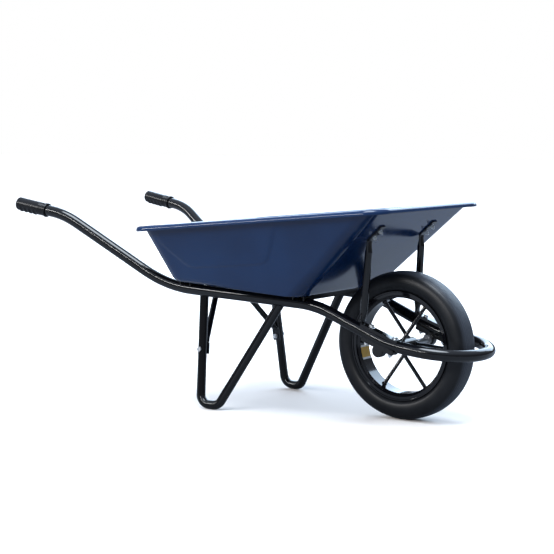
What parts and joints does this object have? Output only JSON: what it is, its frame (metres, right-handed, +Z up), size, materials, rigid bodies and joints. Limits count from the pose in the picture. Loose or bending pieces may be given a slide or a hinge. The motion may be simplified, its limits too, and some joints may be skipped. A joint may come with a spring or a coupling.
{
  "type": "wheelbarrow",
  "caption": "Builder's wheelbarrow with a deep flared steel tray on a one-piece tube frame, V-shaped tube legs and a single spoked wheel.",
  "frame": {"origin": "on the ground under the middle of the overall length and width", "axes": "+X along the direction of travel, from the grips to the wheel; +Y to the left-hand side, along the wheel axle; +Z up"},
  "size_m": [1.406, 0.6448, 0.5795],
  "materials": {
    "tray_paint": "gloss",
    "frame_paint": "gloss",
    "rim_paint": "gloss",
    "zinc_plate": "satin",
    "bare_steel": "satin",
    "grip_rubber": "matte",
    "tyre_rubber": "matte",
    "tube_rubber": "matte",
    "bush_nylon": "matte",
    "valve_brass": "satin",
    "valve_plastic": "matte",
    "label_film": "satin"
  },
  "bodies": {
    "frame": {"tray": "tray_paint", "frame_tube": "frame_paint", "front_cross_bar": "frame_paint", "rear_cross_bar": "frame_paint", "right_leg": "frame_paint", "left_leg": "frame_paint", "leg_brace": "frame_paint", "right_front_strut": "frame_paint", "left_front_strut": "frame_paint", "right_bearing_housing": "frame_paint", "left_bearing_housing": "frame_paint", "right_axle_bush": "bush_nylon", "left_axle_bush": "bush_nylon", "right_grip": "grip_rubber", "left_grip": "grip_rubber", "tray_bolts": "zinc_plate", "tray_nuts": "zinc_plate", "brace_centre_bolt": "zinc_plate", "brace_centre_nut": "zinc_plate", "leg_bolts": "zinc_plate", "leg_nuts": "zinc_plate", "strut_bolts": "zinc_plate", "strut_washers": "zinc_plate", "strut_nuts": "zinc_plate", "bracket_bolts": "zinc_plate", "bracket_washers": "zinc_plate", "bracket_nuts": "zinc_plate"},
    "wheel": {"tyre": "tyre_rubber", "inner_tube": "tube_rubber", "rim": "rim_paint", "spoke_1": "rim_paint", "spoke_2": "rim_paint", "spoke_3": "rim_paint", "spoke_4": "rim_paint", "spoke_5": "rim_paint", "spoke_6": "rim_paint", "hub": "rim_paint", "axle": "bare_steel", "right_axle_collar": "bare_steel", "left_axle_collar": "bare_steel", "valve_stem": "valve_brass", "valve_cap": "valve_plastic", "rim_label": "label_film"}
  },
  "joints": [
    {"name": "wheel_spin", "type": "hinge", "parent": "frame", "child": "wheel", "pos_m": [0.45279, 0, 0.2], "axis": [0, 1, 0], "continuous": true}
  ]
}
